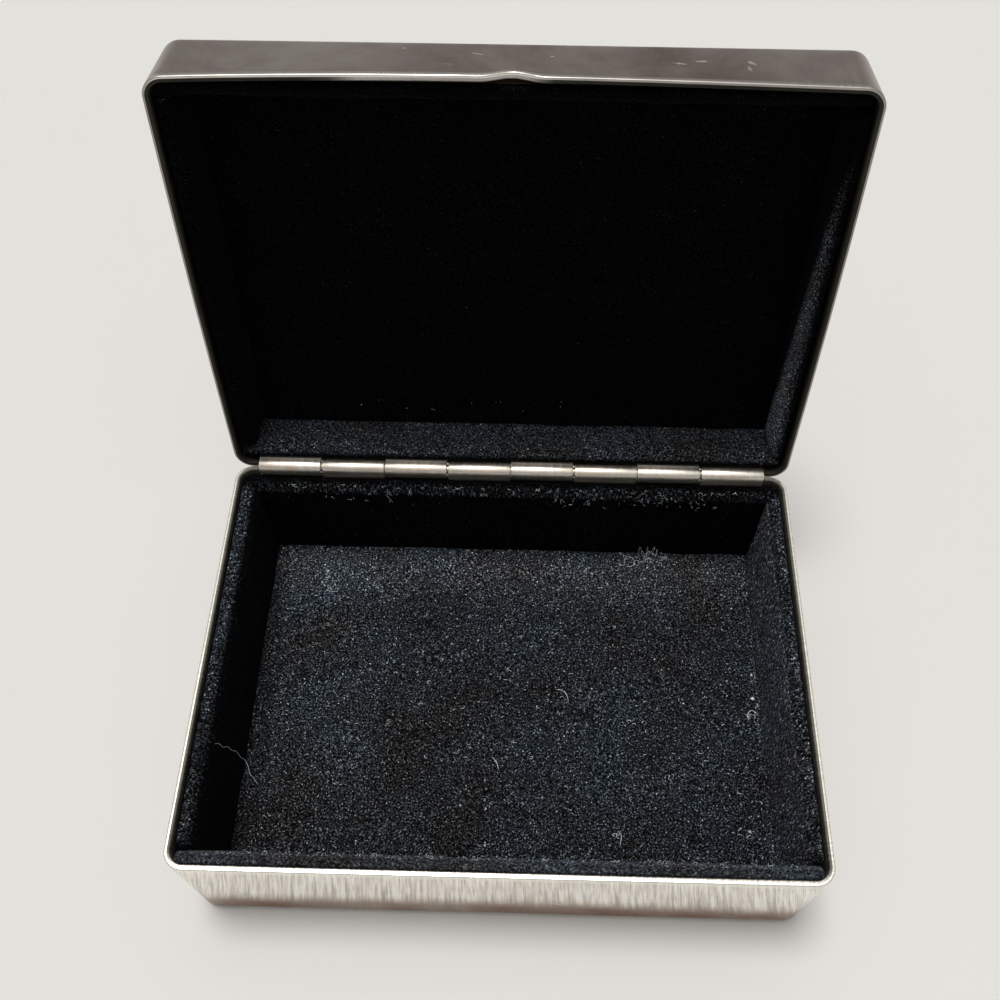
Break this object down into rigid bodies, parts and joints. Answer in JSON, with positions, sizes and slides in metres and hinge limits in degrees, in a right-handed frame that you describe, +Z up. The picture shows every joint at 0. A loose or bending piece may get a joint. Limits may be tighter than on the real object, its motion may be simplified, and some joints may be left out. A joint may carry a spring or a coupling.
{
  "type": "trinket box",
  "caption": "Rectangular sheet-metal trinket box with rounded corners, a barrel-hinged lid and a velvet lining in base and lid.",
  "frame": {"origin": "centre of the flat underside", "axes": "+X to the right along the hinge, +Y from the front to the hinge, +Z up from the surface the box stands on"},
  "size_m": [0.1004, 0.0981, 0.098],
  "materials": {
    "brushed_metal": "brushed across the walls, satin, with fine scratches and bright worn rims",
    "hinge_metal": "satin, warm, rubbed bright along the barrel",
    "pin_wire": "plain drawn wire",
    "velvet": "black velvet with a short pile, dusty with lint",
    "card": "grey-brown pasteboard, hidden"
  },
  "bodies": {
    "base": {"base_shell": "brushed_metal", "base_hinge_leaf": "hinge_metal", "hinge_pin": "pin_wire", "base_floor_velvet": "velvet", "base_floor_card": "card", "base_front_velvet": "velvet", "base_front_card": "card", "base_rear_velvet": "velvet", "base_rear_card": "card", "base_left_velvet": "velvet", "base_left_card": "card", "base_right_velvet": "velvet", "base_right_card": "card"},
    "lid": {"lid_shell": "brushed_metal", "lid_hinge_leaf": "hinge_metal", "lid_top_velvet": "velvet", "lid_top_card": "card", "lid_front_velvet": "velvet", "lid_front_card": "card", "lid_rear_velvet": "velvet", "lid_rear_card": "card", "lid_left_velvet": "velvet", "lid_left_card": "card", "lid_right_velvet": "velvet", "lid_right_card": "card"}
  },
  "joints": [
    {"name": "lid_hinge", "type": "hinge", "parent": "base", "child": "lid", "pos_m": [0, 0.03605, 0.0263], "axis": [1, 0, 0], "range_deg": [0, 101.1]}
  ]
}
